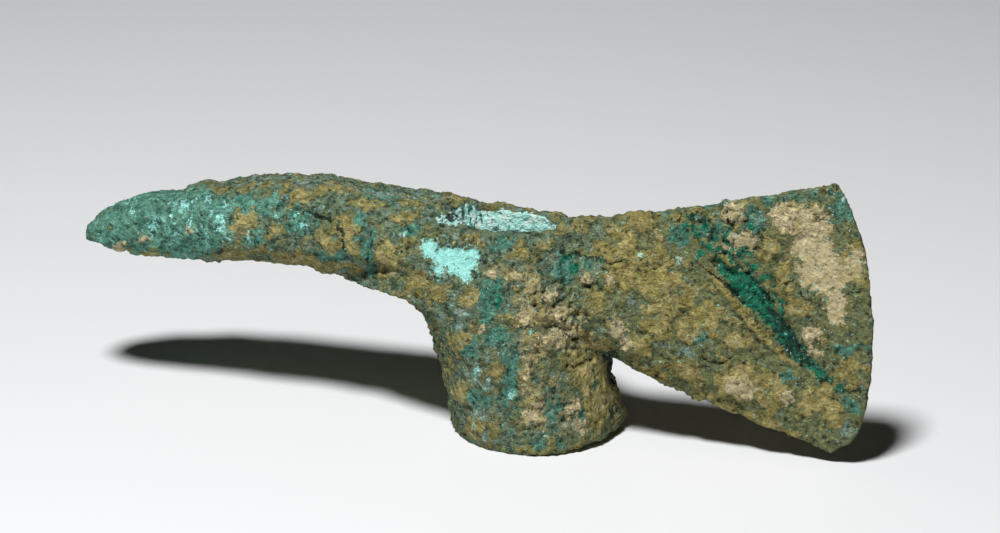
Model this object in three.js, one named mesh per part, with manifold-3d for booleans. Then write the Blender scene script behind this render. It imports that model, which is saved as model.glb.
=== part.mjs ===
// A Bronze Age axe head, cast in one piece: a blunt pick on one side, a fan-shaped axe blade on the
// other, and between them a short tube for the wooden shaft, whose hole runs right through.
// It stands on the rim of that tube. Millimetres, +Z up, the pick towards -X, the blade towards +X.
// The sizes below are measured from the middle of the rim; the part is then moved so that the
// origin lies on the ground under the middle of the whole head.
import * as THREE from "three";
import { mergeVertices } from "three/addons/utils/BufferGeometryUtils.js";
import Module from "manifold-3d";

const { lerp, clamp, smoothstep, degToRad } = THREE.MathUtils;

// Shaft tube
const tubeRadius = 20; // outside, at the rim
const tubeWall = 5.5; // at the rim
const tubeLean = degToRad(9.5); // towards the pick
const eyeTop = 50.3; // height of the flat top around the hole
const eyeTopLength = 36; // of that flat top, along the head
const eyeTopWidth = 22; // and across it
const eyeShoulder = 26; // height over which the tube's sides draw in to it
const holeTopLength = 27;
const holeTopWidth = 15.5;
const rimWear = degToRad(6.5); // the rim is worn away on the blade's side
const rimWearStart = 4; // from the middle of the rim

// Pick
const pickReach = 113; // to its point
const pickTop = 54.6; // height of its flat back
const pickUnderside = 33.2;
const pickWidth = 26;
const pickRootWidth = 31; // where it runs into the tube
const noseLength = 60; // over which the back comes down to the point
const chinLength = 12; // over which the underside comes up to it
const cheekLength = 36; // over which the sides come in to it
const pointHeight = 36.5;
const pointSize = 4.2;
const pointDrift = 6; // the point is worn towards -Y
const armpitLength = 32; // the hollow curve from the pick's underside down into the tube
const armpitDrop = 20;

// Blade
const bladeReach = 80.6; // to the middle of the cutting edge
const edgeTop = 68.4;
const edgeBottom = 2.2;
const edgeBow = 9.3; // how far the middle of the edge stands out past its corners
const edgeThickness = 1.8;
const bladeRootBottom = 20.2; // height of the corner between the blade and the tube
const bladeRootThickness = 26;
const bladeTopNarrowing = 0.68; // share by which the root thins towards its top

// Fineness of the faceted surfaces
const facetsAround = 32;
const facetsAlong = 40;
const facetsTube = 48;

const surface = { color: 0x6f7358, roughness: 0.85, metalness: 0.15 };

// 1 at share 0 and 0 at share 1, along a quarter of a superellipse
const fall = (share, power) => (1 - clamp(share, 0, 1) ** power) ** (1 / power);

// A cosine or sine turned into that of a squarer, superelliptic section
const squarer = (value, power) => Math.sign(value) * Math.abs(value) ** (2 / power);

const leanAt = (z) => -Math.tan(tubeLean) * z;

// Each piece starts as a closed three.js shape, 1 high and 2 across, whose points are then placed:
// share runs from 0 to 1 up the shape, and side and up from -1 to 1 across it.

// The pick, from its point to the middle of the tube's top
function pickPoint(share, cosine, sine) {
  const x = lerp(-pickReach, leanAt(eyeTop), share ** 1.5);
  const fromPoint = x + pickReach;
  const back = lerp(pickTop, eyeTop, smoothstep(x, -2.2 * tubeRadius, 0));
  const top = lerp(pointHeight + pointSize / 2, back, fall(1 - fromPoint / noseLength, 1.4));
  const chin = fall(1 - fromPoint / chinLength, 2);
  const bottom = lerp(pointHeight - pointSize / 2, pickUnderside, chin);
  const full = lerp(pickWidth, pickRootWidth, smoothstep(x, -3.4 * tubeRadius, -tubeRadius)) / 2;
  const half = lerp(pointSize / 2, full, fall(1 - fromPoint / cheekLength, 2));
  const drift = pointDrift * clamp(1 - fromPoint / cheekLength, 0, 1) ** 1.6;
  const side = squarer(cosine, 3.2);
  const up = squarer(sine, 3.2);
  const drawnIn = 1 - 0.27 * smoothstep(up, -0.4, 1) - 0.25 * smoothstep(-up, 0, 1);
  return new THREE.Vector3(x, half * side * drawnIn - drift, lerp(bottom, top, (1 + up) / 2));
}

// The blade, from the middle of the tube's top to the cutting edge: tall, thin sections that bow
// forwards more and more, above as a circle would and below more squarely
function bladePoint(share, side, up) {
  const corner = bladeReach - edgeBow;
  const x = lerp(leanAt(eyeTop), corner, share);
  const top = lerp(eyeTop, edgeTop, share ** 1.4);
  const slope = (bladeRootBottom - edgeBottom) / (corner - tubeRadius);
  const bottom = bladeRootBottom - slope * (x - tubeRadius);
  const half = lerp(edgeThickness, bladeRootThickness, clamp(1 - share, 0, 1) ** 1.25) / 2;
  const rounded = 1 - 0.6 * Math.abs(up) ** lerp(3, 8, share);
  const drawnIn = 1 - bladeTopNarrowing * smoothstep(up, -0.3, 1) * (1 - share ** 3);
  const bow = edgeBow * share ** 2 * (1 - Math.abs(up) ** (up > 0 ? 2 : 4));
  const y = half * side * rounded * drawnIn;
  return new THREE.Vector3(x + bow, y, lerp(bottom, top, (1 + up) / 2));
}

// The tube: round at the rim, its sides drawn in to the flat top, and drawn out under the pick
function tubePoint(share, cosine, sine) {
  const z = eyeTop * share;
  const drawnIn = clamp((z - eyeTop + eyeShoulder) / eyeShoulder, 0, 1) ** 1.6;
  const long = lerp(tubeRadius, eyeTopLength / 2, drawnIn);
  const wide = lerp(tubeRadius, eyeTopWidth / 2, drawnIn);
  const drop = (z - pickUnderside + armpitDrop) / armpitDrop;
  const web = cosine < 0 ? armpitLength * (1 - fall(drop, 2.3)) * (1 - drawnIn) : 0;
  return new THREE.Vector3(leanAt(z) + (long + web) * cosine, wide * sine, z);
}

// The shaft hole, round at the rim and an oval at the top; it is cut from past both ends
function holePoint(share, cosine, sine) {
  const past = 8;
  const z = lerp(-past, 1.5 * eyeTop, share);
  const rise = clamp(z / eyeTop, 0, 1);
  const round = tubeRadius - tubeWall;
  const long = lerp(round, holeTopLength / 2, rise);
  const wide = lerp(round, holeTopWidth / 2, rise ** 2);
  return new THREE.Vector3(leanAt(z) + long * cosine, wide * sine, z);
}

function placed(geometry, place) {
  const position = geometry.getAttribute("position");
  for (let i = 0; i < position.count; i++) {
    const point = place(position.getY(i) + 0.5, position.getZ(i), position.getX(i));
    position.setXYZ(i, point.x, point.y, point.z);
  }
  return geometry;
}

const roundLoft = (around, along, place) =>
  placed(new THREE.CylinderGeometry(1, 1, 1, around, along), place);

const flatLoft = (up, along, across, place) =>
  placed(new THREE.BoxGeometry(2, 1, 2, up, along, across), place);

// The wedge that wear has taken off the rim, as a box whose top face slopes up towards the blade
function wornWedge() {
  const size = tubeRadius;
  const wedge = new THREE.BoxGeometry(size, 3 * size, size).translate(size / 2, 0, -size / 2);
  return wedge.rotateY(-rimWear).translate(rimWearStart, 0, 0);
}

function solidOf(wasm, geometry) {
  geometry.deleteAttribute("normal");
  geometry.deleteAttribute("uv");
  const merged = mergeVertices(geometry, 1e-4);
  return new wasm.Manifold(
    new wasm.Mesh({
      numProp: 3,
      vertProperties: new Float32Array(merged.attributes.position.array),
      triVerts: new Uint32Array(merged.index.array),
    }),
  );
}

function geometryOf(solid) {
  const made = solid.getMesh();
  const geometry = new THREE.BufferGeometry();
  geometry.setAttribute("position", new THREE.BufferAttribute(made.vertProperties, 3));
  geometry.setIndex(new THREE.BufferAttribute(made.triVerts, 1));
  return geometry;
}

const wasm = await Module();
wasm.setup();

const head = solidOf(wasm, roundLoft(facetsAround, facetsAlong, pickPoint))
  .add(solidOf(wasm, flatLoft(facetsAround / 2, facetsAlong, 4, bladePoint)))
  .add(solidOf(wasm, roundLoft(facetsTube, facetsTube / 2, tubePoint)))
  .subtract(solidOf(wasm, roundLoft(facetsTube, facetsTube / 4, holePoint)))
  .subtract(solidOf(wasm, wornWedge()));

const geometry = geometryOf(head);
geometry.computeBoundingBox();
const { min, max } = geometry.boundingBox;
geometry.translate(-(min.x + max.x) / 2, -(min.y + max.y) / 2, -min.z);
geometry.computeVertexNormals();

const axeHead = new THREE.Mesh(geometry, new THREE.MeshStandardMaterial(surface));
axeHead.name = "axe_head";

const group = new THREE.Group();
group.add(axeHead);
export default group;
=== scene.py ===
import math

import bmesh
import bpy
import numpy as np
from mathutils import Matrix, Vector, noise


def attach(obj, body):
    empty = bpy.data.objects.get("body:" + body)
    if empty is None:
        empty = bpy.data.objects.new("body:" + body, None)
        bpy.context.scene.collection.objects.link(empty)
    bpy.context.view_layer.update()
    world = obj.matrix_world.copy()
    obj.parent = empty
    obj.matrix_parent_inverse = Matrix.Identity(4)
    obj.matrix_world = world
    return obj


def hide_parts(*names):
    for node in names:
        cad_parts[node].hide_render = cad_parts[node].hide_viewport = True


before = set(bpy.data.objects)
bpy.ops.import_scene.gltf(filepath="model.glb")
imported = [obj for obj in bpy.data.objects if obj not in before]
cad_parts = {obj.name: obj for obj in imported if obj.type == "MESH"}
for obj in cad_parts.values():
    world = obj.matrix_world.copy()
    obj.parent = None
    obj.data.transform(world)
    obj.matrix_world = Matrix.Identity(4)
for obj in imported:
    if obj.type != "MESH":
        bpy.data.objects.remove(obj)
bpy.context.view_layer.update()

# Camera: a long lens about 0.9 m away, turned a little round from square on and looking down on the
# head, so that the long pick runs off to the left and the blade stands nearest on the right.
photo_width, photo_height = 1000, 533
azimuth, elevation = math.radians(19.7), math.radians(19.6)
camera_distance = 0.9
focal_pixels = 3830
aim = Vector((0.0065, 0.0, 0.0386))
back = Vector((
    math.sin(azimuth) * math.cos(elevation),
    -math.cos(azimuth) * math.cos(elevation),
    math.sin(elevation),
))
right = Vector((math.cos(azimuth), math.sin(azimuth), 0.0))
lens = bpy.data.cameras.new("photo_lens")
lens.sensor_fit = "HORIZONTAL"
lens.sensor_width = 36.0
lens.lens = focal_pixels / photo_width * lens.sensor_width
lens.clip_start, lens.clip_end = 0.01, 20.0
camera = bpy.data.objects.new("photo_camera", lens)
camera.location = aim + camera_distance * back
camera.rotation_euler = (-back).to_track_quat("-Z", "Y").to_euler()
bpy.context.scene.collection.objects.link(camera)
bpy.context.scene.camera = camera
bpy.context.scene.view_settings.view_transform = "Standard"


def photo_pixels(points):
    """Where the camera sees points, in the photograph's pixels."""
    away = points - np.array(camera.location)
    depth = away @ -np.array(back)
    across = photo_width / 2 + focal_pixels * (away @ np.array(right)) / depth
    down = photo_height / 2 - focal_pixels * (away @ np.array(back.cross(right))) / depth
    return across, down


# The axe head: one bronze casting, under a thick crust of corrosion and burial earth. Its form is
# the cast solid's, softened where the pick, blade and tube run into each other, then roughened.
crust_grain = 0.00057
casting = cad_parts["axe_head"]
crusted = bpy.data.objects.new("crusted_axe_head", casting.data.copy())
bpy.context.scene.collection.objects.link(crusted)
joined = bmesh.new()
joined.from_mesh(crusted.data)
bmesh.ops.remove_doubles(joined, verts=joined.verts, dist=1e-6)
joined.to_mesh(crusted.data)
joined.free()
remesh = crusted.modifiers.new("even_grain", "REMESH")
remesh.mode = "VOXEL"
remesh.voxel_size = crust_grain
depsgraph = bpy.context.evaluated_depsgraph_get()
evened = bpy.data.meshes.new_from_object(crusted.evaluated_get(depsgraph))
crusted.modifiers.clear()
crusted.data = evened
evened.name = "crusted_axe_head"

# Corners between the three parts that the casting rounds off, as balls: (x, y, z, radius) in mm,
# and how often the skin is smoothed there.
soft_corners = [
    (-12, 0, 38, 30, 20),
    (25, -12, 40, 14, 11),
    (25, 12, 40, 14, 11),
    (34, -10, 30, 12, 9),
    (34, 10, 30, 12, 9),
]
# The flat top around the shaft hole stays crisp: its height, ends and half width.
eye_height, eye_start, eye_end, eye_half_width = 0.0485, -0.008, 0.026, 0.0125
skin = bmesh.new()
skin.from_mesh(evened)


def smooth(verts):
    """Draws each point halfway to the middle of its neighbours."""
    bmesh.ops.smooth_vert(
        skin, verts=verts, factor=0.5, use_axis_x=True, use_axis_y=True, use_axis_z=True
    )


def around_hole(point):
    """Whether a point lies on the flat top around the hole."""
    along_top = eye_start < point.x < eye_end
    return point.z > eye_height and along_top and abs(point.y) < eye_half_width


smooth(skin.verts)
for x, y, z, radius, times in soft_corners:
    middle = Vector((x, y, z)) / 1000
    near = [
        v for v in skin.verts
        if (v.co - middle).length < radius / 1000 and not around_hole(v.co)
    ]
    for _ in range(times):
        smooth(near)
skin.to_mesh(evened)
skin.free()

count = len(evened.vertices)
places = np.empty(count * 3)
evened.vertices.foreach_get("co", places)
places = places.reshape(-1, 3)
normals = np.empty(count * 3)
evened.vertices.foreach_get("normal", normals)
normals = normals.reshape(-1, 3)
facing = normals @ np.array(back)
spots = [Vector(p) * 1000 for p in places]
far_off = -99.0  # the depth, in pixels, of a point well outside a mark


def swell(size, steps, shift):
    """A cloudy noise over the skin, from about -1 to 1, with lumps of about size mm."""
    move = Vector((shift, 1.7 * shift, -shift))
    return np.array([noise.fractal(p / size + move, 0.7, 2.0, steps) for p in spots])


def grains(size, shift):
    """Rounded grains of about size mm: 1 on a grain's top and 0 or less between grains."""
    move = Vector((shift, -shift, 0.6 * shift))
    return np.array([1 - 1.6 * noise.voronoi(p / size + move)[0][0] ** 2 for p in spots])


def drawn(blobs, across, down):
    """How far inside the nearest blob each point lies, in pixels; a blob is an ellipse in the
    photograph: middle x, y, half sizes x, y, and a turn in degrees."""
    depth = np.full(count, far_off)
    for x, y, half_x, half_y, *turned in blobs:
        turn = math.radians(turned[0] if turned else 0)
        u = (across - x) * math.cos(turn) + (down - y) * math.sin(turn)
        v = -(across - x) * math.sin(turn) + (down - y) * math.cos(turn)
        far = np.hypot(u / half_x, v / half_y)
        depth = np.maximum(depth, (1 - far) * min(half_x, half_y))
    return depth


def along(path, across, down):
    """The same for a streak along points of x, y and half width."""
    depth = np.full(count, far_off)
    for (x0, y0, w0), (x1, y1, w1) in zip(path, path[1:]):
        run = np.array([x1 - x0, y1 - y0])
        t = np.clip(((across - x0) * run[0] + (down - y0) * run[1]) / (run @ run), 0, 1)
        gap = np.hypot(across - x0 - t * run[0], down - y0 - t * run[1])
        depth = np.maximum(depth, w0 + t * (w1 - w0) - gap)
    return depth


# What the crust is made of: rolling lumps, broken crust, fine grit, broad clouds, two sizes of
# grain, and the flakes that it breaks into, in larger patches on the blade.
lumps = swell(9, 2, 3)
crust = swell(3.6, 3, 11)
fine = swell(1.3, 2, 29)
broad = swell(22, 2, 41)
pebbles = grains(2.1, 5)
crumbs = grains(1.2, 17)
towards_blade = np.clip((places[:, 0] - 0.01) / 0.02, 0, 1)
flaking = swell(3.4, 4, 97) + 0.8 * swell(7.5, 2, 131) * towards_blade
flaking /= flaking.std()

# The shaft hole leans towards the pick. These are where its axis meets the floor, its lean, a
# reach just past its wall, and half its length and width at the top.
hole_foot, hole_lean, hole_reach = 0.0162, math.radians(9.5), 0.0155
hole_half_length, hole_half_width = 0.0135, 0.00775
hole_axis = hole_foot - math.tan(hole_lean) * places[:, 2]
to_axis = np.stack([hole_axis - places[:, 0], -places[:, 1]], 1)
inward = (normals[:, 0] * to_axis[:, 0] + normals[:, 1] * to_axis[:, 1]) / np.hypot(*to_axis.T)
inside_hole = np.clip((inward - 0.1) / 0.4, 0, 1) * (np.hypot(*to_axis.T) < hole_reach)
outside = 1 - inside_hole
dark_below = 0.028  # the height below which the hole lies in shadow, with no powder to be seen
in_eye = inside_hole * (places[:, 2] > dark_below)

# Powdery corrosion lines the hole's far wall from a little above the floor, and is thicker below
# the rim, which it pushes inwards.
lining_foot, lining_rise, lining_spread = 0.018, 0.014, 0.007
lining_thickness, lining_swelling = 0.0022, 0.0036
rim_height, rim_depth, rim_foot = 0.0495, 0.010, 0.045
far_wall = 0.001
from_axis = np.clip(1 - ((places[:, 0] - hole_axis) / hole_half_length) ** 2, 0, 1) ** 0.5
past_wall = places[:, 1] - hole_half_width * from_axis
lining = (places[:, 1] > far_wall) * from_axis
lining = lining * np.clip((places[:, 2] - lining_foot) / lining_rise, 0, 1)
lining = lining * np.clip(1 - past_wall / lining_spread, 0, 1)
lining = lining * np.maximum(inside_hole, places[:, 2] > rim_foot)
below_rim = np.clip((rim_height - places[:, 2]) / rim_depth, 0, 1) * inside_hole
places[:, 1] -= lining * (lining_thickness + lining_swelling * below_rim)

# Most marks lie on the far side too, where the camera doesn't reach, shifted and torn about. On
# the near side they only have ragged edges.
across, down = photo_pixels(places)
mirrored = places * np.array([1.0, -1.0, 1.0])
across_far, down_far = photo_pixels(mirrored)
across_far += 26 * broad + 14 * lumps
down_far += 16 * swell(20, 2, 71) + 10 * crust
across = across + 2.2 * crust + 1.2 * fine
down = down + 2.2 * swell(3.6, 3, 57) + 1.2 * swell(1.3, 2, 83)

# Marks in the photograph's pixels, each an ellipse or a streak, by what they are made of.
teal_zones = [
    (160, 228, 76, 40, -6), (240, 207, 26, 12), (252, 236, 12, 9), (272, 204, 18, 8),
    (382, 196, 14, 7), (409, 230, 12, 6), (505, 243, 11, 8), (491, 300, 13, 24),
    (497, 335, 15, 9), (511, 366, 6, 20), (511, 390, 8, 18), (479, 398, 9, 11),
    (554, 411, 9, 13), (588, 382, 7, 7), (579, 418, 7, 10), (540, 444, 16, 5),
    (566, 268, 12, 16, 30), (590, 262, 10, 7), (754, 221, 13, 14), (780, 199, 32, 4, -8),
    (720, 232, 22, 7, 20), (844, 206, 9, 18, 20), (852, 349, 14, 4), (278, 216, 8, 8),
    (300, 222, 14, 10), (360, 228, 8, 14), (369, 252, 5, 22), (332, 256, 12, 6),
    (470, 345, 9, 12), (680, 236, 12, 10), (700, 337, 8, 7), (786, 377, 8, 7),
    (850, 408, 10, 9), (700, 205, 30, 4, -6),
]
turquoise_flecks = [
    (131, 206, 7, 4), (135, 214, 3, 5), (176, 204, 8, 4, -10), (185, 208, 6, 8),
    (171, 218, 3, 3), (196, 204, 3, 4), (212, 204, 4, 6), (225.5, 204.5, 4, 3.5),
    (211, 216, 5, 4), (155, 227, 6, 5), (173, 223, 3, 2), (178, 235, 3.5, 6), (153, 236, 3, 3),
    (221, 222, 7, 11), (229, 238, 5, 4), (209, 236, 3, 3), (278, 214, 4, 5), (297, 217, 2.5, 4),
    (304, 227, 3, 9, -42), (251, 236, 4, 5), (403, 234, 5, 2.5, -20), (511, 396, 5, 5),
    (414, 197, 8, 1.6), (455, 332, 3, 3), (477, 372, 5, 8), (160, 220, 5, 4), (190, 222, 4, 7),
    (200, 230, 3, 4), (698, 337, 4, 4), (640, 256, 4, 3), (531, 332, 3, 3), (545, 437, 3, 3),
    (476, 426, 2, 5),
]
turquoise_bloom = [
    (431, 249, 9, 9), (448, 257, 18, 11), (464, 261, 13, 12), (439, 269, 5, 9),
    (465, 273, 7, 10), (473, 254, 6, 7), (424, 245, 5, 6), (455, 268, 9, 7),
]
beige_earth = [
    (799, 219, 30, 15), (812, 247, 22, 15), (824, 272, 28, 21), (836, 305, 12, 21),
    (856, 264, 9, 18), (733, 212, 15, 10), (737, 243, 15, 11), (750, 238, 8, 8),
    (741, 386, 18, 12, 20), (787, 398, 9, 7), (618, 328, 8, 14, -20), (626, 343, 6, 9, -20),
    (191, 232, 8, 4.5), (117, 248, 8, 4), (144, 239, 5, 3.5), (516, 277, 11, 5.5),
    (492, 273, 7, 5), (790, 214, 22, 13), (815, 228, 18, 13), (812, 333, 9, 10),
    (815, 352, 6, 5), (534, 416, 12, 9), (538, 404, 5, 4), (572, 407, 9, 8), (580, 427, 6, 8),
    (588, 278, 6, 6), (610, 279, 5, 6), (524, 316, 9, 12), (545, 341, 10, 8), (559, 344, 7, 7),
    (527, 361, 7, 6), (525, 373, 7, 6), (522, 390, 4, 5), (569, 326, 6, 6), (558, 312, 11, 7),
    (484, 329, 5, 4), (560, 332, 12, 9), (586, 393, 6, 5), (552, 384, 4, 3), (547, 296, 10, 8),
]
ochre_earth = [
    (248, 219, 13, 12), (236, 229, 8, 9), (256, 209, 8, 5), (276, 229, 7, 6),
    (226, 193, 37, 3.5, -3), (226, 257, 44, 4, 3), (264, 250, 7, 6), (269, 238, 5, 4),
    (366, 205, 14, 8), (423, 204, 13, 5), (405, 218, 17, 7), (386, 257, 12, 20, 10),
    (348, 230, 13, 14), (344, 247, 18, 10), (520, 252, 9, 6), (541, 246, 10, 5),
    (479, 243, 4, 5), (613, 243, 16, 15), (658, 249, 12, 10), (651, 318, 17, 19),
    (628, 271, 9, 12), (675, 290, 16, 18), (651, 284, 14, 14), (812, 398, 22, 15, -20),
    (855, 362, 12, 8), (581, 366, 14, 12), (599, 393, 12, 20), (597, 418, 10, 11),
    (575, 354, 13, 6), (491, 351, 12, 4, 10), (497, 371, 11, 6), (438, 292, 10, 9),
    (449, 366, 4, 12, 14), (645, 374, 14, 5, 30), (690, 372, 16, 8, 25), (735, 340, 18, 12, 35),
    (720, 405, 24, 6, 28), (300, 196, 24, 6), (335, 190, 20, 6), (770, 250, 10, 12),
    (785, 272, 9, 13), (800, 310, 13, 11), (330, 240, 10, 8), (775, 425, 22, 8, 30),
    (566, 228, 16, 5), (640, 222, 22, 8), (600, 300, 12, 14), (590, 372, 20, 22),
    (603, 398, 14, 24), (150, 252, 42, 4, 2), (187, 214, 4, 16), (741, 386, 26, 15, 20),
    (500, 205, 40, 4, 6), (455, 198, 16, 6, 10), (112, 222, 6, 8), (613, 243, 20, 18),
    (608, 262, 12, 8), (711, 318, 12, 16), (728, 318, 9, 14), (655, 318, 18, 20),
    (658, 268, 14, 10), (640, 345, 14, 12), (470, 300, 12, 10), (462, 340, 14, 12),
    (463, 392, 9, 12), (480, 428, 14, 8), (598, 396, 14, 18), (745, 372, 20, 12, 25),
    (830, 410, 14, 16), (765, 402, 18, 10, 25), (300, 262, 40, 8, 4), (420, 282, 10, 12),
    (690, 330, 14, 16), (665, 275, 16, 14), (780, 385, 16, 10),
]
emerald_streak = [
    (722, 268, 4), (732, 276, 8), (744, 286, 14), (756, 299, 12), (766, 312, 10), (776, 324, 8),
    (788, 342, 8), (802, 357, 6), (820, 373, 3.5), (842, 389, 2.5),
]
emerald_twigs = [
    (692, 217, 5, 3), (696, 232, 7, 3, 40), (704, 226, 4, 5), (708, 246, 7, 4, 40),
    (700, 254, 3, 5), (715, 238, 4, 6), (708, 218, 5, 3), (728, 252, 5, 4),
    (717, 248, 5, 3, 20), (721, 261, 6, 3, 40), (733, 264, 3, 7), (746, 262, 3, 10),
    (753, 268, 3, 7), (774, 288, 2.5, 13, -8), (762, 278, 4, 5), (782, 304, 2, 6),
    (725, 240, 4, 5), (752, 228, 7, 4, 20), (742, 252, 4, 5), (566, 258, 4, 8, 30),
    (498, 300, 4, 11), (574, 268, 5, 5), (686, 228, 3, 4),
]
# Dark slate corrosion in hollows; the marks near x 610 to 613, down the tube's right side under the
# blade, are painted shade.
slate_hollows = [
    (790, 348, 13, 9, 42), (778, 332, 8, 7, 40), (804, 361, 8, 5, 35), (768, 320, 4, 8),
    (693, 221, 3, 9, 15), (680, 219, 3, 9, 20), (714, 262, 5, 3), (727, 270, 5, 4),
    (739, 268, 3, 5), (702, 238, 3, 5), (657, 372, 3.5, 3), (453, 219, 4, 4), (613, 366, 7, 20),
    (612, 412, 4, 12), (588, 287, 7, 3), (598, 284, 4, 6), (410, 230, 4, 3),
    (300, 213, 6, 3, 30), (610, 356, 9, 6), (857, 392, 12, 2.2, 10), (483, 260, 4, 5),
    (563, 252, 10, 3, 10), (594, 258, 8, 2), (824, 382, 10, 2, 25), (344, 258, 4, 3),
    (556, 300, 5, 2), (571, 296, 4, 2), (537, 352, 2, 6), (700, 222, 4, 5), (712, 232, 3, 5),
    (720, 255, 6, 3), (734, 256, 4, 6), (748, 275, 4, 8), (756, 286, 8, 3, 60),
    (766, 297, 8, 4, 60), (784, 328, 12, 7, 52), (796, 344, 13, 7, 48), (772, 314, 9, 4, 55),
    (812, 364, 8, 3, 40), (732, 222, 3, 8), (760, 236, 3, 6), (722, 205, 8, 2),
    (745, 226, 2, 6), (559, 356, 7, 2), (549, 326, 5, 2), (520, 345, 2, 8), (508, 290, 3, 6),
    (553, 392, 2, 7), (563, 418, 4, 6), (541, 300, 2, 6), (584, 318, 6, 2), (575, 338, 6, 2),
]
granular_earth = [
    (528, 288, 13, 21), (544, 312, 17, 26), (568, 320, 22, 26), (535, 350, 14, 20),
    (532, 385, 9, 20), (535, 415, 12, 13), (570, 413, 15, 14), (592, 335, 14, 14),
    (516, 277, 12, 6),
]
cracks = [
    [(307, 211, 1.2), (318, 216, 2.4), (331, 222, 1.4)],
    [(783, 284, 1.0), (793, 280, 1.2), (800, 290, 1.2), (806, 299, 0.8)],
    [(838, 298, 0.9), (850, 293, 1.2), (868, 292, 0.8)],
    [(605, 262, 1.0), (612, 264, 1.6), (622, 259, 0.9)],
    [(700, 358, 0.8), (722, 364, 1.1), (733, 359, 0.8)],
    [(566, 366, 0.8), (578, 366, 1.3), (590, 358, 0.9)],
    [(345, 250, 0.9), (344, 238, 1.6), (342, 229, 1.6), (338, 222, 0.9)],
    [(366, 262, 0.8), (371, 246, 1.2), (369, 232, 0.9)],
    [(726, 206, 0.8), (730, 218, 1.4), (727, 228, 0.8)],
    [(752, 208, 0.8), (758, 222, 1.3), (764, 232, 0.9)],
    [(700, 262, 0.8), (712, 274, 1.3), (727, 286, 1.6), (742, 303, 1.4)],
    [(640, 262, 0.7), (652, 268, 1.2), (660, 264, 0.7)],
    [(664, 312, 0.7), (670, 322, 1.3), (668, 334, 0.7)],
    [(560, 332, 0.8), (574, 338, 1.2), (590, 336, 0.8)],
    [(596, 352, 0.9), (608, 356, 1.5), (616, 366, 0.9)],
    [(846, 393, 0.8), (858, 393, 1.4), (869, 396, 1.0)],
    [(812, 212, 0.8), (822, 220, 1.1), (835, 224, 0.8)],
    [(440, 276, 0.8), (430, 280, 1.2), (424, 272, 0.8)],
]
# The ledge of earth along the streak's lower side.
ochre_lip = [
    (702, 262, 1.5), (712, 274, 3.0), (722, 287, 4.0), (734, 302, 4.0), (748, 318, 4.0),
    (762, 335, 3.5), (780, 354, 2.5), (800, 368, 1.5),
]
rugged_zones = [
    (735, 226, 38, 24), (714, 250, 20, 18), (782, 258, 24, 30, -30), (802, 332, 18, 26),
    (838, 362, 14, 16), (745, 296, 26, 18, 45), (330, 234, 36, 16, 10), (560, 300, 40, 30),
    (430, 290, 24, 14, 40),
]
blue_grey_bloom = [
    (477, 375, 10, 12), (486, 380, 7, 9), (450, 290, 5, 5), (462, 310, 9, 8), (462, 324, 6, 5),
    (441, 318, 6, 5), (814, 190, 12, 5), (846, 196, 6, 12, 20), (602, 268, 8, 5),
    (568, 273, 6, 4), (680, 260, 6, 8), (688, 352, 10, 8), (715, 403, 12, 6, 20),
    (757, 220, 9, 9), (790, 280, 5, 6), (740, 345, 10, 6), (871, 330, 3, 26), (866, 390, 4, 12),
    (840, 430, 12, 10), (780, 412, 9, 6), (480, 415, 10, 9), (460, 400, 6, 8), (570, 425, 8, 8),
    (480, 440, 16, 5), (598, 330, 6, 5), (300, 185, 36, 6), (378, 192, 28, 5),
    (428, 199, 18, 5), (262, 181, 20, 4), (590, 213, 20, 3), (306, 250, 6, 4), (395, 268, 6, 8),
    (345, 262, 10, 4), (630, 300, 6, 7), (665, 345, 8, 6),
]
# A dark hollow at the hole's left end, painted slate as painted shade.
black_spot = [(452, 218, 8, 5, 15)]
hole_bloom = [
    (490, 219, 50, 9, 2), (530, 222, 24, 8), (472, 209, 14, 5), (484, 205, 9, 3),
    (455, 219, 16, 8),
]


def near_side(depth, past_edge=0.0):
    """A mark that only the camera's side has, or a little past the edge of that side."""
    return np.where(facing > -past_edge, depth, far_off)


def both_sides(blobs):
    """Marks where the camera sees them, and their torn copies on the far side."""
    return np.where(facing > 0, drawn(blobs, across, down), drawn(blobs, across_far, down_far))


teal_depth = both_sides(teal_zones)
fleck_depth = both_sides(turquoise_flecks)
beige_depth = both_sides(beige_earth)
ochre_depth = both_sides(ochre_earth)
grey_depth = both_sides(blue_grey_bloom)
bloom_depth = near_side(drawn(turquoise_bloom, across, down))
streak_depth = near_side(along(emerald_streak, across, down))
emerald_depth = np.maximum(streak_depth, both_sides(emerald_twigs))
slate_depth = near_side(drawn(slate_hollows, across, down), 0.2)
crack_depth = near_side(np.max([along(crack, across, down) for crack in cracks], axis=0))
lip_depth = near_side(along(ochre_lip, across, down))

# The far edge of the hole's rim, as pixels across and down: in the photograph the turquoise powder
# on the hole's far wall begins below it.
eye_edge = (
    [440, 452, 459, 464, 473, 479, 490, 500, 520, 534, 544, 556],
    [216, 210, 208, 205, 206, 211, 212, 211, 212, 214, 219, 224],
)
below_edge = down - np.interp(across, *eye_edge)
on_rim = (facing > 0) & (places[:, 2] > 0.046)
eye_rim = np.where(on_rim, drawn(hole_bloom, across, down), far_off)


def soft(depth, width):
    """A mark's depth as a share, 0.5 on its edge."""
    return np.clip(0.5 + depth / (2 * width), 0, 1)


in_turquoise = np.maximum(in_eye, soft(eye_rim, 3)) * np.where(facing > 0, soft(below_edge, 1.5), 1)
smooth_patches = beige_earth[1:5]
smooth_earth = soft(drawn(smooth_patches, across, down), 5) * (facing > 0)
granular = soft(both_sides(granular_earth), 9) * np.where(facing > 0, 1.0, 0.6)

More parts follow.
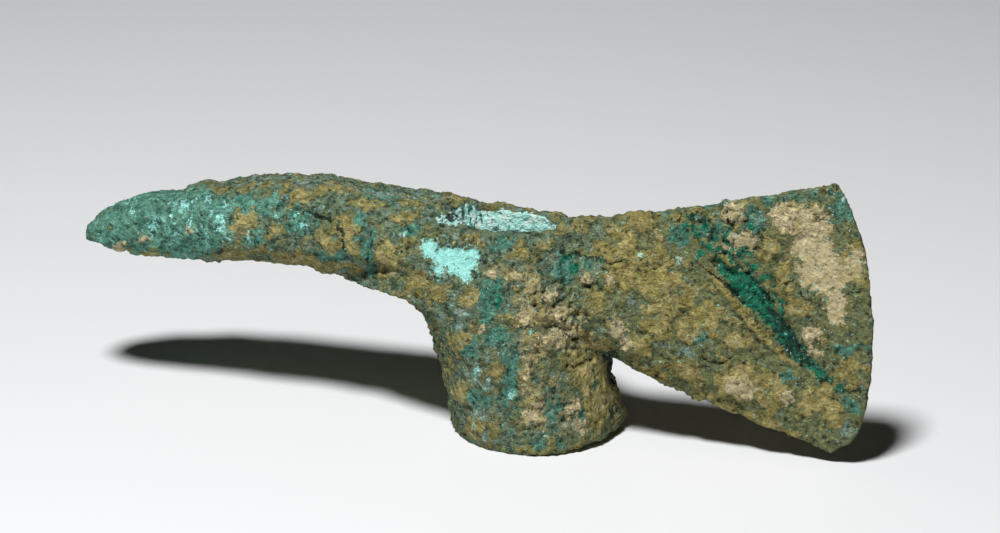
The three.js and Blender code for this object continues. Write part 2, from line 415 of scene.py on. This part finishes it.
# Earth clings in flakes that stand a little proud of the green corrosion below them.
pick_back = np.clip((normals[:, 2] - 0.5) / 0.3, 0, 1) * (places[:, 0] < -0.002)
flakes = np.clip(0.5 + 0.8 * (
    flaking - 0.75 + 2.5 * soft(ochre_depth, 5) - 1.6 * soft(teal_depth, 6) - 0.6 * pick_back
), 0, 1)
rugged = soft(drawn(rugged_zones, across, down), 10) * (facing > 0)
roughness_here = (1 - 0.6 * smooth_earth) * (1 + 1.1 * rugged)
grit_relief = roughness_here * (
    0.36 * crust
    + 0.26 * fine
    + (0.14 + 0.62 * granular) * pebbles
    + (0.18 + 0.26 * granular) * crumbs
)

# The height of the crust over the metal, in mm.
relief = (
    0.42 * lumps
    + grit_relief
    + 0.34 * flakes * outside
    + 0.26 * soft(beige_depth, 1.5) * outside
    - 0.75 * soft(streak_depth, 3.0)
    + 0.80 * soft(lip_depth, 1.5)
    - 0.60 * soft(slate_depth, 2.0) * outside
    - 0.80 * soft(crack_depth, 0.9)
    - 0.15 * soft(bloom_depth, 2.0)
)
pits = np.clip(grains(3.1, 47) - 0.72, 0, 1) / 0.28
relief -= 0.5 * pits * (crust > 0.05) * roughness_here

# Knobs and hollows of the crust on the outline: (x, y, radius in pixels, height in mm).
knobs = [
    (90, 218, 8, -0.8), (82, 231, 6, -0.8), (84, 240, 7, -1.2), (219, 263, 5, 0.9),
    (320, 271, 9, 0.5), (618, 412, 16, 1.3), (611, 372, 12, -0.8), (872, 320, 8, 0.3),
    (868, 380, 7, 0.3), (870, 292, 26, -1.7), (668, 384, 18, 1.2), (690, 396, 18, 1.2),
    (448, 199, 15, 0.9), (474, 203, 15, 0.9), (502, 207, 14, 0.8), (424, 192, 12, 0.5),
    (640, 209, 12, 0.5), (730, 198, 14, 0.5), (588, 210, 9, 0.4), (460, 440, 9, 0.4),
    (240, 262, 10, 0.5),
]
# The crust is thicker or thinner along the pick's back and underside: pixels across, and mm. Past
# a small step a layer has broken away from the back.
back_crust = (
    [96, 112, 130, 150, 162, 172, 188, 190, 210, 220, 250, 285, 305, 350, 372, 405, 445],
    [0.5, 1.0, 1.3, 1.5, 1.1, 0.3, -0.1, 0.9, 1.2, 0.2, 0.6, 0.9, 0.3, 0.1, -0.5, -0.6, 0],
)
belly_crust = (
    [82, 90, 97, 108, 118, 126, 136, 210, 240, 300, 330, 360, 385, 415, 435, 446],
    [-3.6, -3.6, -2.2, -0.5, -0.4, -1.2, 0, 0, -1.5, -1.6, -0.2, -0.9, -2.9, -2.2, -1.7, 0],
)
on_pick = places[:, 0] < -0.006
on_back = np.clip((normals[:, 2] - 0.25) / 0.4, 0, 1) * on_pick
on_belly = np.clip((-normals[:, 2] - 0.15) / 0.4, 0, 1) * on_pick
relief += on_back * np.interp(across, *back_crust)
relief += on_belly * np.interp(across, *belly_crust)

# The crust is thin on the cutting edge and on the foot of the tube.
edge_end, edge_width, foot_height = 0.0975, 0.03, 0.0015
off_the_floor = np.clip(places[:, 2] / foot_height, 0, 1)
thin_edge = np.clip((edge_end - places[:, 0]) / edge_width, 0.35, 1)
relief *= thin_edge
turned_edge = np.clip(1 - np.abs(facing) / 0.8, 0, 1)
for x, y, radius, height in knobs:
    far = (across - x) ** 2 + (down - y) ** 2
    relief += height * turned_edge * np.exp(-far / (0.7 * radius) ** 2)
relief *= 0.25 + 0.75 * off_the_floor
shaped = places + normals * relief[:, None] / 1000

# The blade's lower corner is full: pixels down, and mm that it stands out.
corner_fill = ([396, 410, 422, 435, 443, 451, 459], [0, 0.5, 0.6, 1.5, 1.4, 0.5, 0])
corner_start, corner_width = 0.060, 0.02
by_edge = np.clip((places[:, 0] - corner_start) / corner_width, 0, 1)
shaped[:, 0] += by_edge * np.interp(down, *corner_fill) / 1000
shaped[:, 2] = np.maximum(shaped[:, 2], 0.0)
evened.vertices.foreach_set("co", shaped.ravel())

# Each mark is kept on the skin's points, for the material to read.
marks = {
    "teal": soft(teal_depth, 7) * outside,
    "turquoise": np.maximum(soft(fleck_depth, 4), soft(bloom_depth, 4)) * outside,
    "bloom": soft(bloom_depth, 4) * outside,
    "beige": soft(beige_depth, 5) * outside,
    "flakes": flakes * (1 - in_turquoise),
    "ochre": soft(ochre_depth, 8) * (1 - in_turquoise),
    "emerald": soft(emerald_depth, 4) * outside,
    "slate": soft(slate_depth, 4) * outside,
    "crack": soft(crack_depth, 1.2) * outside,
    "lip": soft(lip_depth, 3),
    "grey": soft(grey_depth, 6) * outside,
    "eye": in_turquoise,
    # Painted shade: low in the hole, and the dark spot at its left end.
    "deep": np.maximum(
        np.clip(inside_hole * (dark_below - places[:, 2]) / 0.01, 0, 1),
        soft(drawn(black_spot, across, down), 1.5) * (facing > 0),
    ),
    "sunk": np.clip(0.5 - 0.9 * grit_relief, 0, 1),
    "granular": granular * outside,
    "calm": np.maximum.reduce([smooth_earth, soft(bloom_depth, 3), 0.8 * in_eye]),
}
for name, values in marks.items():
    layer = evened.attributes.new(name, "FLOAT", "POINT")
    layer.data.foreach_set("value", values.astype(np.float32))
evened.polygons.foreach_set("use_smooth", np.ones(len(evened.polygons), bool))
evened.update()

material = bpy.data.materials.new("crusted_bronze")
material.use_nodes = True
nodes, links = material.node_tree.nodes, material.node_tree.links
shader = nodes["Principled BSDF"]
where = nodes.new("ShaderNodeTexCoord").outputs["Object"]


def cloud(size, detail, rough, shift):
    """A noise with features of about size mm, from 0 to 1."""
    placed = nodes.new("ShaderNodeMapping")
    placed.inputs["Location"].default_value = (shift, -shift, 0.5 * shift)
    links.new(where, placed.inputs["Vector"])
    made = nodes.new("ShaderNodeTexNoise")
    made.inputs["Scale"].default_value = 1000 / size
    made.inputs["Detail"].default_value = detail
    made.inputs["Roughness"].default_value = rough
    links.new(placed.outputs["Vector"], made.inputs["Vector"])
    return made.outputs["Fac"]


def layered(name):
    """A value that is kept on the skin's points."""
    layer = nodes.new("ShaderNodeAttribute")
    layer.attribute_name = name
    return layer.outputs["Fac"]


def sharpened(value, low, high):
    """0 below low and 1 above high."""
    step = nodes.new("ShaderNodeMapRange")
    step.interpolation_type = "SMOOTHSTEP"
    step.inputs["From Min"].default_value = low
    step.inputs["From Max"].default_value = high
    links.new(value, step.inputs["Value"])
    return step.outputs["Result"]


def patchy(size, shift, low, high, detail=4, rough=0.55):
    """Patches of about size mm: 0 below low and 1 above high."""
    return sharpened(cloud(size, detail, rough, shift), low, high)


def sums(operation, a, b):
    """One operation on two numbers or sockets."""
    made = nodes.new("ShaderNodeMath")
    made.operation = operation
    for socket, value in zip(made.inputs, (a, b)):
        if isinstance(value, (int, float)):
            socket.default_value = value
        else:
            links.new(value, socket)
    return made.outputs["Value"]


def mark(name, ragged, low, high, size=1.6, shift=0.0):
    """A mark's mask with a ragged, crumbling edge."""
    layer = layered(name)
    tear = sums("MULTIPLY", sums("SUBTRACT", cloud(size, 3, 0.6, shift), 0.5), ragged)
    return sharpened(sums("ADD", layer, tear), low, high)


# Where a mix node has its two colours and its result.
under_socket, over_socket, mixed_socket = 6, 7, 2


def painted(under, over, mask, strength=1.0):
    """over painted on under where mask says; each is a colour or a socket."""
    mix = nodes.new("ShaderNodeMix")
    mix.data_type = "RGBA"
    if strength != 1.0:
        mask = sums("MULTIPLY", mask, strength)
    links.new(mask, mix.inputs["Factor"])
    for number, value in ((under_socket, under), (over_socket, over)):
        if isinstance(value, tuple):
            mix.inputs[number].default_value = (*value, 1)
        else:
            links.new(value, mix.inputs[number])
    return mix.outputs[mixed_socket]


# Colours of the corrosion, of the powder on it and of the earth that clings to it. Slate also
# serves as painted shade.
dark_green = (0.050, 0.090, 0.058)
grey_green = (0.150, 0.200, 0.124)
olive = (0.120, 0.120, 0.050)
dark_olive = (0.066, 0.082, 0.044)
moss = (0.175, 0.182, 0.070)
ochre = (0.278, 0.232, 0.072)
tan = (0.405, 0.330, 0.140)
pale_earth = (0.530, 0.450, 0.265)
deep_teal = (0.028, 0.120, 0.088)
teal = (0.105, 0.290, 0.215)
pale_teal = (0.180, 0.430, 0.350)
turquoise = (0.250, 0.640, 0.570)
pale_turquoise = (0.480, 0.860, 0.780)
powder = (0.370, 0.800, 0.730)
chalk = (0.740, 0.900, 0.820)
emerald = (0.004, 0.165, 0.092)
slate = (0.014, 0.030, 0.022)
blue_grey = (0.200, 0.290, 0.240)
olive_grey = (0.150, 0.172, 0.090)

along_head = nodes.new("ShaderNodeSeparateXYZ")
links.new(where, along_head.inputs["Vector"])
on_blade = sharpened(along_head.outputs["X"], 0.018, 0.042)

# Corrosion first: grey-green and dark green, moss-coloured over most of the blade, teal in its
# zones, and a pale blue-grey bloom.
green = painted(grey_green, dark_green, patchy(2.4, 1.0, 0.46, 0.60))
green = painted(green, blue_grey, patchy(2.0, 2.0, 0.54, 0.64), 0.75)
moss_coat = painted(moss, dark_olive, patchy(1.9, 2.5, 0.52, 0.62), 0.8)
moss_coat = painted(moss_coat, olive_grey, patchy(2.6, 2.7, 0.50, 0.60), 0.8)
green = painted(green, moss_coat, sums("MAXIMUM", on_blade, patchy(5.0, 3.0, 0.50, 0.60)), 0.85)
teal_coat = painted(teal, deep_teal, patchy(2.2, 4.0, 0.48, 0.60), 0.8)
teal_coat = painted(teal_coat, pale_teal, patchy(1.6, 5.0, 0.52, 0.66, rough=0.6), 0.9)
off_the_point = sharpened(along_head.outputs["X"], -0.035, -0.015)
teal_shade = sums("MULTIPLY", off_the_point, cloud(1.4, 4, 0.6, 5.5))
teal_coat = painted(teal_coat, deep_teal, teal_shade, 0.9)
skin_colour = painted(green, teal_coat, mark("teal", 2.6, 0.30, 0.66, 2.4, 6.0), 0.9)
grey_coat = painted(blue_grey, chalk, patchy(1.2, 7.0, 0.52, 0.70), 0.6)
skin_colour = painted(skin_colour, grey_coat, mark("grey", 2.6, 0.56, 0.90, 1.5, 8.0), 0.75)

# Flakes of earth over it, yellower on the blade and in patches, and a fine dusting.
patch_coat = painted(tan, ochre, patchy(3.2, 8.2, 0.44, 0.58, rough=0.6))
earth = painted(moss, ochre, sums("MAXIMUM", on_blade, patchy(1.6, 8.5, 0.40, 0.58, rough=0.6)))
earth = painted(earth, olive, patchy(2.8, 9.0, 0.48, 0.62), 0.8)
earth = painted(earth, tan, patchy(2.0, 10.0, 0.54, 0.66, rough=0.6), 0.75)
patches = mark("ochre", 1.5, 0.45, 0.95, 1.8, 10.5)
earth = painted(earth, patch_coat, patches, 0.8)
flaked = mark("flakes", 1.7, 0.30, 0.80, 1.2, 11.0)
skin_colour = painted(skin_colour, earth, flaked, 0.9)
dusting = patchy(0.8, 11.5, 0.52, 0.68, detail=3, rough=0.6)
veil = painted(grey_green, moss, on_blade)
dusting = sums("SUBTRACT", dusting, sums("MULTIPLY", patches, 0.6))
skin_colour = painted(skin_colour, veil, dusting, 0.5)

# The grains of the granular earth: pale earth on top, partly a painted highlight, with dark teal
# corrosion and painted shade in the gaps between them.
sunk = layered("sunk")
grain_zone = layered("granular")
between = sharpened(sunk, 0.40, 0.62)
gap_coat = painted(deep_teal, slate, patchy(3.0, 11.7, 0.46, 0.56))
skin_colour = painted(skin_colour, gap_coat, sums("MULTIPLY", between, grain_zone), 0.95)
raised = sharpened(sunk, 0.44, 0.22)
raised = sums("MULTIPLY", raised, grain_zone)
raised = sums("MULTIPLY", raised, patchy(3.0, 11.9, 0.42, 0.54))
grain_coat = painted(tan, pale_earth, patchy(2.6, 12.0, 0.52, 0.64), 0.7)
skin_colour = painted(skin_colour, grain_coat, raised, 0.85)

# Caked beige earth, the green streak with its ledge, dark hollows and cracks, and bright flecks;
# part of the dark in the hollows is painted shade.
beige_coat = painted(pale_earth, tan, patchy(3.0, 13.0, 0.48, 0.64), 0.8)
beige_coat = painted(beige_coat, ochre, patchy(1.5, 14.0, 0.60, 0.74, rough=0.6), 0.5)
caked = mark("beige", 2.4, 0.42, 0.72, 1.4, 15.0)
skin_colour = painted(skin_colour, beige_coat, caked, 0.92)
lip_coat = painted(ochre, tan, patchy(1.6, 15.5, 0.46, 0.62, rough=0.6))
emerald_coat = painted(emerald, deep_teal, patchy(1.8, 16.0, 0.50, 0.62, rough=0.6), 0.8)
emerald_coat = painted(emerald_coat, slate, patchy(1.4, 17.0, 0.55, 0.66, rough=0.6), 0.8)
skin_colour = painted(skin_colour, emerald_coat, mark("emerald", 2.4, 0.46, 0.66, 1.3, 18.0), 0.95)
skin_colour = painted(skin_colour, lip_coat, mark("lip", 1.6, 0.40, 0.60, 1.4, 19.0), 0.85)
slate_coat = painted(slate, deep_teal, patchy(1.2, 20.0, 0.50, 0.66), 0.8)
# Slate marks: dark corrosion, and painted shade down the tube's right side under the blade.
skin_colour = painted(skin_colour, slate_coat, mark("slate", 2.4, 0.54, 0.80, 1.1, 21.0), 0.9)
skin_colour = painted(skin_colour, slate, mark("crack", 1.4, 0.45, 0.70, 0.8, 21.5), 0.9)
turquoise_coat = painted(turquoise, pale_turquoise, patchy(1.5, 22.0, 0.44, 0.60, rough=0.6))
fleck_coat = painted(turquoise_coat, teal, patchy(1.0, 23.0, 0.58, 0.72, rough=0.6), 0.6)
skin_colour = painted(
    skin_colour, fleck_coat, mark("turquoise", 2.8, 0.64, 0.92, 0.9, 24.0), 0.9
)
# Painted shade: slate laid in the low places of the crust.
hollows = sharpened(sunk, 0.62, 0.92)
skin_colour = painted(skin_colour, slate, hollows, 0.75)

# Pin pits, crowded together in places and kept off the smooth beige earth, painted slate as painted
# shade in the pits.
pit_scale = 420
pitted = nodes.new("ShaderNodeTexVoronoi")
pitted.inputs["Scale"].default_value = pit_scale
links.new(where, pitted.inputs["Vector"])
pin_pits = sharpened(pitted.outputs["Distance"], 0.30, 0.14)
pin_pits = sums("MULTIPLY", pin_pits, patchy(1.6, 24.5, 0.50, 0.58, detail=2, rough=0.5))
pin_pits = sums("MULTIPLY", pin_pits, sums("SUBTRACT", 1.0, mark("beige", 0.0, 0.3, 0.6)))
skin_colour = painted(skin_colour, slate, pin_pits, 0.6)

# Grit: painted light and shade on the grains, following the grit noise that also drives the bump:
# painted shade where it is low, a painted highlight where it is high.
grit = sums(
    "ADD",
    sums("MULTIPLY", cloud(0.75, 3, 0.6, 30.0), 0.5),
    sums("MULTIPLY", cloud(1.7, 3, 0.55, 31.0), 0.5),
)
painted_grit_shading = nodes.new("ShaderNodeHueSaturation")
painted_grit_shade = sums("MULTIPLY", sharpened(grit, 0.48, 0.36), 0.76)
painted_grit_highlight = sums("MULTIPLY", sharpened(grit, 0.50, 0.66), 0.75)
painted_grit_shade = sums("MULTIPLY", painted_grit_shade, sums("SUBTRACT", 1.0, sums("MULTIPLY", patches, 0.35)))
shade = sums("ADD", sums("SUBTRACT", 1.06, painted_grit_shade), sums("MULTIPLY", patches, 0.10))
links.new(sums("ADD", shade, painted_grit_highlight), painted_grit_shading.inputs["Value"])
links.new(skin_colour, painted_grit_shading.inputs["Color"])
# Less of the painted light and shade where the skin is calm.
calm = layered("calm")
skin_colour = painted(painted_grit_shading.outputs["Color"], skin_colour, calm, 0.45)

# Powdery turquoise: the bloom beside the hole, and fibres of it down the inside of the hole.
bloom_coat = painted(powder, turquoise, patchy(2.2, 25.0, 0.46, 0.62), 0.8)
bloom_coat = painted(bloom_coat, teal, patchy(0.9, 25.5, 0.54, 0.74, rough=0.6), 0.6)
skin_colour = painted(skin_colour, bloom_coat, mark("bloom", 3.4, 0.40, 0.80, 0.8, 25.7), 0.92)
hole_coat = painted(pale_turquoise, chalk, patchy(1.6, 26.0, 0.48, 0.62))
hole_coat = painted(hole_coat, turquoise, patchy(1.9, 26.5, 0.56, 0.68, rough=0.6), 0.5)
fibre_scale, fibre_stretch = 1150, 0.16
upright = nodes.new("ShaderNodeMapping")
upright.inputs["Scale"].default_value = (1.0, 1.0, fibre_stretch)
links.new(where, upright.inputs["Vector"])
fibres = nodes.new("ShaderNodeTexNoise")
fibres.inputs["Scale"].default_value = fibre_scale
fibres.inputs["Detail"].default_value = 3
links.new(upright.outputs["Vector"], fibres.inputs["Vector"])
pick_side = sharpened(along_head.outputs["X"], 0.010, -0.002)
streaks = sums("ADD", fibres.outputs["Fac"], sums("MULTIPLY", pick_side, 0.12))
hole_coat = painted(hole_coat, deep_teal, sharpened(streaks, 0.62, 0.74), 0.9)
skin_colour = painted(skin_colour, hole_coat, mark("eye", 2.0, 0.50, 0.66, 1.4, 28.0))
# Painted shade in the hole: slate low down and at its left end.
skin_colour = painted(skin_colour, slate, mark("deep", 0.8, 0.40, 0.80, 1.6, 29.0), 0.92)
links.new(skin_colour, shader.inputs["Base Color"])

shader.inputs["Roughness"].default_value = 0.86
shader.inputs["Specular IOR Level"].default_value = 0.15
height = sums("ADD", sums("MULTIPLY", grit, 1.75), sums("MULTIPLY", flaked, 0.16))
height = sums("ADD", height, sums("MULTIPLY", caked, 0.16))
height = sums("SUBTRACT", height, sums("MULTIPLY", pin_pits, 0.3))
height = sums("MULTIPLY", height, sums("SUBTRACT", 1.0, sums("MULTIPLY", calm, 0.6)))
bump = nodes.new("ShaderNodeBump")
bump.inputs["Strength"].default_value = 1.0
bump.inputs["Distance"].default_value = 0.0016
links.new(height, bump.inputs["Height"])
links.new(bump.outputs["Normal"], shader.inputs["Normal"])
evened.materials.clear()
evened.materials.append(material)
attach(crusted, "root")
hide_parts("axe_head")

# Floor: a sheet of pale matt board that the head stands on, wide enough to fill the view.
board_reach = 3.0
floor_mesh = bpy.data.meshes.new("floor")
sheet = bmesh.new()
bmesh.ops.create_grid(sheet, x_segments=1, y_segments=1, size=board_reach)
sheet.to_mesh(floor_mesh)
sheet.free()
floor = bpy.data.objects.new("floor", floor_mesh)
bpy.context.scene.collection.objects.link(floor)
board = bpy.data.materials.new("pale_board")
board.use_nodes = True
board_shader = board.node_tree.nodes["Principled BSDF"]
board_shader.inputs["Base Color"].default_value = (0.80, 0.81, 0.82, 1)
board_shader.inputs["Roughness"].default_value = 0.9
floor_mesh.materials.append(board)

# Light: one soft lamp high above the head, a little in front and to the left. A low, weak one
# behind it keeps the far side from going black, and the room is dim.
lamp_height, lamp_size, lamp_energy = 0.9, 0.19, 12.7
shadow_right, shadow_away = 0.20, 0.45  # how far the shadow falls, per height of what throws it
fill_distance, fill_height, fill_size, fill_energy = 1.2, 0.11, 0.2, 1.3
ground_away = Vector((-math.sin(azimuth), math.cos(azimuth), 0.0))


def soft_lamp(name, size, energy, place):
    """A round soft light at place, turned towards the head."""
    data = bpy.data.lights.new(name, "AREA")
    data.shape = "DISK"
    data.size = size
    data.energy = energy
    lamp = bpy.data.objects.new(name, data)
    lamp.location = place
    lamp.rotation_euler = (lamp.location - aim).to_track_quat("Z", "Y").to_euler()
    bpy.context.scene.collection.objects.link(lamp)


from_above = Vector((0, 0, 1)) - shadow_right * right - shadow_away * ground_away
soft_lamp("studio_lamp", lamp_size, lamp_energy, aim + lamp_height * from_above)
behind = fill_distance * ground_away + Vector((0, 0, fill_height))
soft_lamp("back_fill", fill_size, fill_energy, behind)
room = bpy.data.worlds.new("room")
room.use_nodes = True
room_light = room.node_tree.nodes["Background"]
room_light.inputs["Color"].default_value = (1.0, 0.97, 0.90, 1)
room_light.inputs["Strength"].default_value = 0.002
bpy.context.scene.world = room
